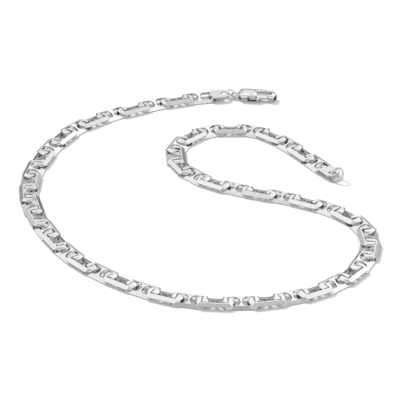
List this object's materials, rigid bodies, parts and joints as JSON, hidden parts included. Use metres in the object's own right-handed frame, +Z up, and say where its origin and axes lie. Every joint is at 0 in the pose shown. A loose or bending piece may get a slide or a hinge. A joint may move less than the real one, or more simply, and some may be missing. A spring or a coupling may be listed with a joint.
{
  "type": "mariner link neck chain with lobster clasp",
  "caption": "Silver mariner link neck chain lying open in a loop, with end tags, a ring and a lobster clasp.",
  "frame": {"origin": "on the table, at the middle of the chain's outline seen from above", "axes": "+Z up from the table, +X to the right of the view, +Y away from the viewer, towards the clasp end"},
  "size_m": [0.1339, 0.1632, 0.0045],
  "materials": {
    "silver": "polished silver, bright and sharp edged",
    "silver_clasp": "polished silver, cast and rounded",
    "silver_lever": "polished silver, satin from the file"
  },
  "bodies": {
    "chain": {"chain_clasp_side": "silver", "chain_free_side": "silver", "clasp_end_tag": "silver", "free_end_tag": "silver", "jump_ring": "silver", "clasp_body": "silver_clasp", "clasp_pin": "silver_clasp", "end_ring": "silver"},
    "lever": {"clasp_lever": "silver_lever"}
  },
  "joints": [
    {"name": "lever_hinge", "type": "hinge", "parent": "chain", "child": "lever", "pos_m": [0.0219, 0.0756, 0.00155], "axis": [0, 0, 1], "range_deg": [0, 16], "stiffness_Nm_per_rad": 0.002, "springref_deg": -17.19}
  ]
}
